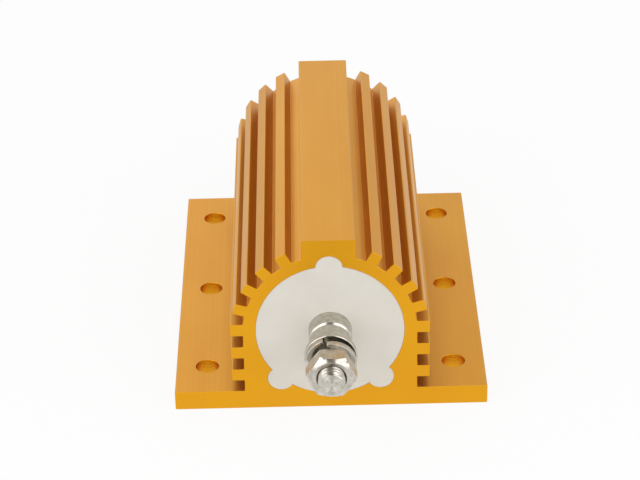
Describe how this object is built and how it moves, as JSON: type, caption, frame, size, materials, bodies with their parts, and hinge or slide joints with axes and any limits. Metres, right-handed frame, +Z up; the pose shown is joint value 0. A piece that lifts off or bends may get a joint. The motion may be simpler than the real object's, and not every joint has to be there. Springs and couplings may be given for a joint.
{
  "type": "aluminium housed power resistor",
  "caption": "Wire-wound power resistor in a finned gold-anodised extrusion with a drilled mounting flange and a screw terminal at each end.",
  "frame": {"origin": "middle of the mounting flange's underside", "axes": "+X across the flange, +Y along the extrusion from the front terminal to the rear one, +Z up away from the surface it is bolted to"},
  "size_m": [0.072, 0.1362, 0.0442],
  "materials": {
    "gold_anodised_aluminium": "satin gold anodised extrusion, brighter where it was sawn",
    "white_filler": "smooth matt cast filler",
    "core_ceramic": "unglazed steatite",
    "resistance_alloy": "dull oxidised wire",
    "cap_steel": "drawn, satin",
    "plated_steel": "bright nickel plate"
  },
  "bodies": {
    "root": {"housing": "gold_anodised_aluminium", "filler": "white_filler", "ceramic_core": "core_ceramic", "resistance_wire": "resistance_alloy", "front_end_cap": "cap_steel", "rear_end_cap": "cap_steel", "front_terminal_post": "plated_steel", "rear_terminal_post": "plated_steel", "front_spacer": "plated_steel", "rear_spacer": "plated_steel", "front_flat_washer": "plated_steel", "rear_flat_washer": "plated_steel", "front_spring_washer": "plated_steel", "rear_spring_washer": "plated_steel", "front_nut": "plated_steel", "rear_nut": "plated_steel"}
  },
  "joints": []
}
